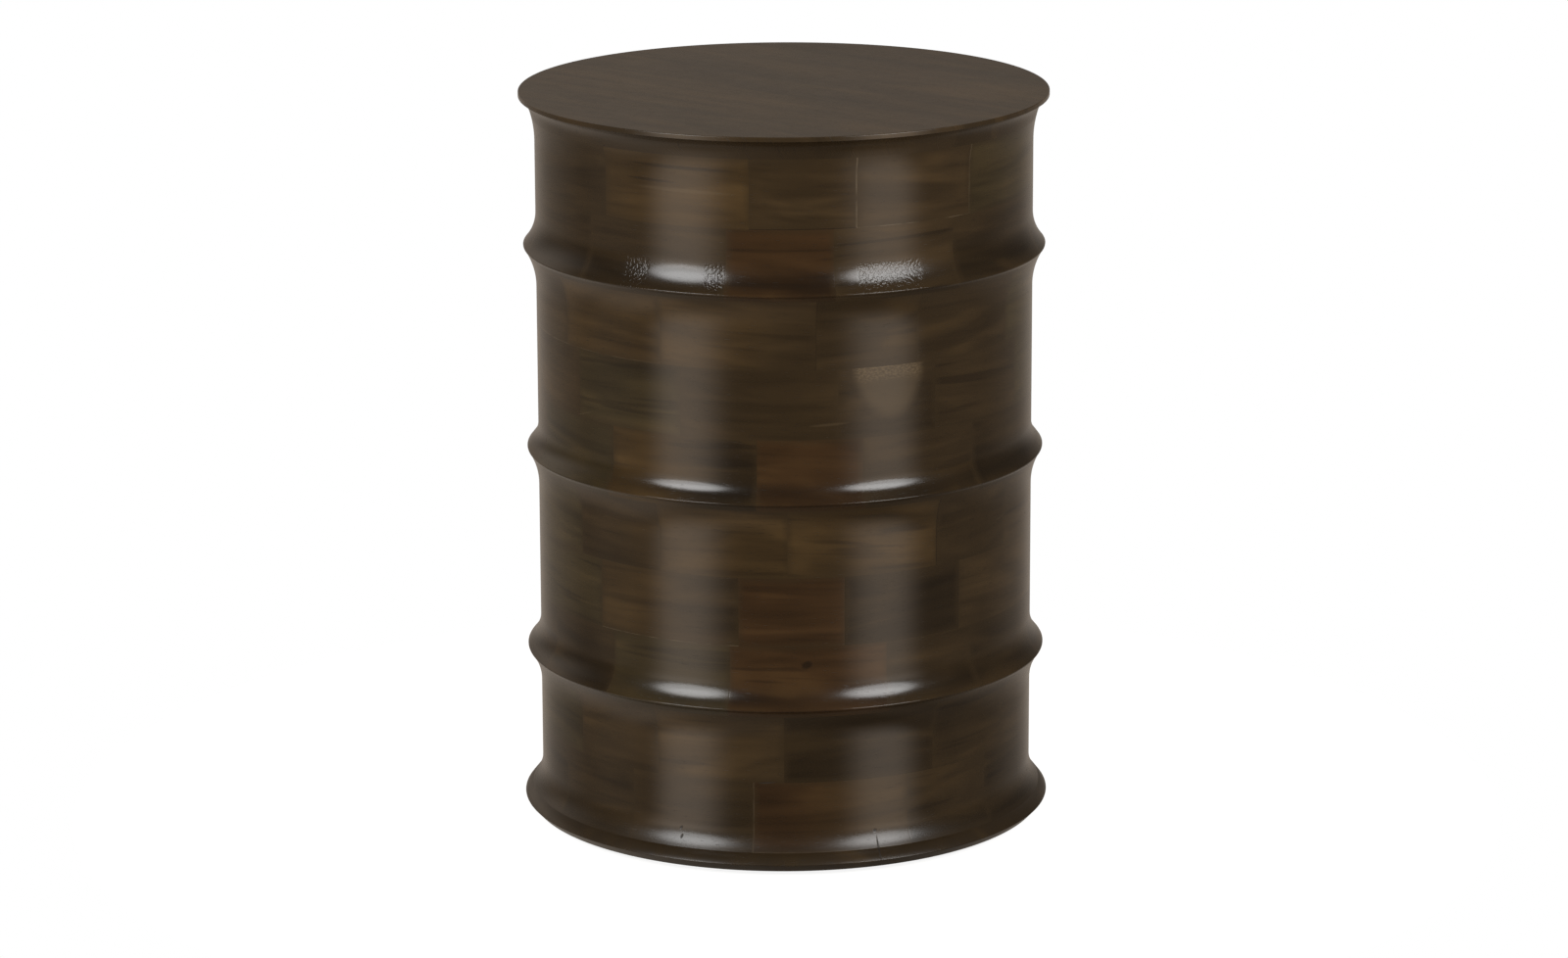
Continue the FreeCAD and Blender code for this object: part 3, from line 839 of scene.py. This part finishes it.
# %% Mark the base
BASE_EDGE_SPAN = 4 * MM
BASE_SEED = 300
spots, _ = corners_of(base.data)
ones = np.ones(len(spots))
edge_here = np.clip((np.hypot(spots[:, 0], spots[:, 1]) - WALL) / BASE_EDGE_SPAN, 0, 1)
mark(
    base.data,
    grain=np.column_stack((spots[:, 0] + END_SLANT * spots[:, 2], spots[:, 1], BASE_SEED * ones)),
    stain=np.column_stack((np.outer(1 - 0.25 * edge_here, SHADES["u"]), ones)),
    ends=np.full((len(spots), 3), NO_JOINT),
    seams=np.full((len(spots), 4), PLAIN),
    marks=np.column_stack((0 * ones, 0 * ones, 0.8 * edge_here)),
    rub=rubbed(spots),
)
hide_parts("base_panel")
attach(base, "root")
print("base:", len(base.data.polygons), "faces")


# %% [markdown]
# ## Screws and glides
# The screws and the glides have the right shape already, so they keep it and only get a finish. The screws are
# zinc-plated steel with a fine turned sheen and a little dirt. The glides are hard black plastic, moulded with a
# light texture and scuffed where they slide on the floor.

# %% Steel and plastic
steel, sheet = blank_material("screw_steel")
place = sheet.add("ShaderNodeTexCoord", out="Object")
dirt = step(noise(place, (380, 380, 380), 3), 0.45, 0.68)
sheen = noise(place, (2600, 260, 900), 2)
bump = sheen.add("ShaderNodeBump", {}, {"Strength": 0.3, "Distance": 0.1 * MM, "Height": sheen})
sockets = {
    "Base Color": tint(dirt, (0.42, 0.41, 0.38, 1), (0.14, 0.12, 0.1, 1)),
    "Metallic": 1 - dirt * 0.5,
    "Roughness": 0.28 + dirt * 0.3 + sheen * 0.1,
    "Normal": bump,
}
cover(sheet, sockets)

plastic, sheet = blank_material("glide_plastic")
place = sheet.add("ShaderNodeTexCoord", out="Object")
texture = noise(place, (1800, 1800, 1800), 2)
scuff = step(noise(place, (90, 700, 90), 3), 0.52, 0.75)
bump = texture.add("ShaderNodeBump", {}, {"Strength": 0.4, "Distance": 0.2 * MM, "Height": texture})
sockets = {
    "Base Color": tint(scuff, (0.012, 0.012, 0.012, 1), (0.05, 0.048, 0.045, 1)),
    "Roughness": 0.5 + scuff * 0.2,
    "Normal": bump,
}
cover(sheet, sockets)

# %% Finish the small parts
for name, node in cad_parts.items():
    finish = {"base_screws": steel, "glide_screws": steel}.get(name, plastic if "glide" in name else None)
    if finish:
        for slot in node.material_slots:
            slot.material = finish
        print(name, "gets", finish.name)

# %% [markdown]
# ## Studio
# The table stands on a pale floor with a large soft light on each side of the camera. These two lights give the
# bright patches on the beads and the soft upright bands on the wall. The floor and the surroundings look white
# to the camera, while reflections see a dimmer room with paler sides, as in a studio with dark gear at the
# camera's end.

# %% Floor
FLOOR_RADIUS, FLOOR_SIDES = 0.55, 96
floor_mesh = bpy.data.meshes.new("floor")
floor_angles = np.linspace(0, 2 * math.pi, FLOOR_SIDES, endpoint=False)
floor_rim = [(FLOOR_RADIUS * math.cos(a), FLOOR_RADIUS * math.sin(a), 0) for a in floor_angles]
floor_mesh.from_pydata(floor_rim, [], [list(range(FLOOR_SIDES))])
floor = bpy.data.objects.new("floor", floor_mesh)
scene.collection.objects.link(floor)
floor_paint, sheet = blank_material("floor_paint")
seen = sheet.add("ShaderNodeLightPath", out="Is Camera Ray")
matt = sheet.add("ShaderNodeBsdfDiffuse", {}, {"Color": (0.3, 0.3, 0.3, 1)})
glow = sheet.add("ShaderNodeEmission", {}, {"Color": (1, 1, 1, 1), "Strength": 0.13 + seen * 0.75})
paint = sheet.add("ShaderNodeAddShader", {}, {0: matt, 1: glow})
sheet.add("ShaderNodeOutputMaterial", {}, {"Surface": paint})
floor_mesh.materials.append(floor_paint)
floor.visible_glossy = False

# %% Room
ROOM = 0.48
world = bpy.data.worlds.new("room")
scene.world = world
world.use_nodes = True
world.node_tree.nodes.clear()
sheet = Wire(world.node_tree)
seen = sheet.add("ShaderNodeLightPath", out="Is Camera Ray")
way = sheet.add("ShaderNodeTexCoord", out="Generated")
side = way.add("ShaderNodeSeparateXYZ", {}, {0: way}, "X")
depth = side.other("Y")
level = side.other("Z")
behind = step(depth, 0.0, 0.8)
bearing = side.math("ARCTAN2", side.math("ABSOLUTE", side, 0), 0 - depth)

# A pale panel stands below each of the two lights and is palest near its upper edge.
panel = step(bearing, 0.4, 0.76) * (1 - step(bearing, 0.9, 1.2))
panel = panel * (1 - step(level, 0.1, 0.34)) * step(level, -0.8, -0.35) * (1.4 - side * 0.12)
panel = panel * (1 + step(level, -0.17, 0.1) * 0.45)
# Paper hangs behind the table, with a strip of light over its left half.
left = side.math("MAXIMUM", 0 - side, 0)
paper = behind * (1 - step(level, -0.32, 0.16)) * (0.205 - side * 0.05)
paper = paper + behind * step(level, -0.05, 0.32) * (1 - step(level, 0.4, 0.58)) * left * 0.78
# The sides are pale up to eye level, and the ground is palest on the left.
flank = step(bearing, 1.1, 1.4) * (1 - step(bearing, 1.6, 1.9))
flank = flank * (1 - step(level, -0.2, 0)) * (0.1 - side * 0.05)
ground = side.math("MAXIMUM", 0.06 - side * 0.22, 0) + left * left * 0.3
ground = ground * step(0 - level, 0.38, 0.75)
mirrored = 0.09 + step(depth, 0.7, 0.94) * 0.11 + paper + panel + flank + ground

# Only reflections see all that. Other light comes from an even room, and the camera sees plain white.
clear = seen + seen.other("Is Transmission Ray")
strength = ROOM + clear * (1 - ROOM) + seen.other("Is Glossy Ray") * (mirrored - ROOM)
warm = tint(clear, (1, 0.86, 0.73, 1), (1, 1, 1, 1))
glow = sheet.add("ShaderNodeBackground", {}, {"Color": warm, "Strength": strength})
sheet.add("ShaderNodeOutputWorld", {}, {"Surface": glow})

# %% Softboxes
# Each softbox is a wide sheet with a smaller core: width, height, lift and power.
SOFTBOX = {"sheet": (1.2, 1.25, 0.0, 24), "core": (0.9, 0.6, 0.15, 4)}
SOFTBOX_AWAY, SOFTBOX_HEIGHT, SOFTBOX_AIM = 1.98, 1.26, 0.3
for hand, azimuth in (("left", -45), ("right", 45)):
    for layer, (wide, tall, lift, watts) in SOFTBOX.items():
        lamp = bpy.data.lights.new(f"{hand}_{layer}", "AREA")
        lamp.shape = "ELLIPSE"
        lamp.size = wide
        lamp.size_y = tall
        lamp.energy = watts
        softbox = bpy.data.objects.new(lamp.name, lamp)
        angle = math.radians(azimuth)
        away = Vector((math.sin(angle), -math.cos(angle), 0)) * SOFTBOX_AWAY
        softbox.location = away + Vector((0, 0, SOFTBOX_HEIGHT + lift))
        aim = Vector((0, 0, SOFTBOX_AIM + lift)) - softbox.location
        softbox.rotation_euler = aim.to_track_quat("-Z", "Y").to_euler()
        softbox.visible_camera = False
        scene.collection.objects.link(softbox)
        print(softbox.name, [round(c, 2) for c in softbox.location])
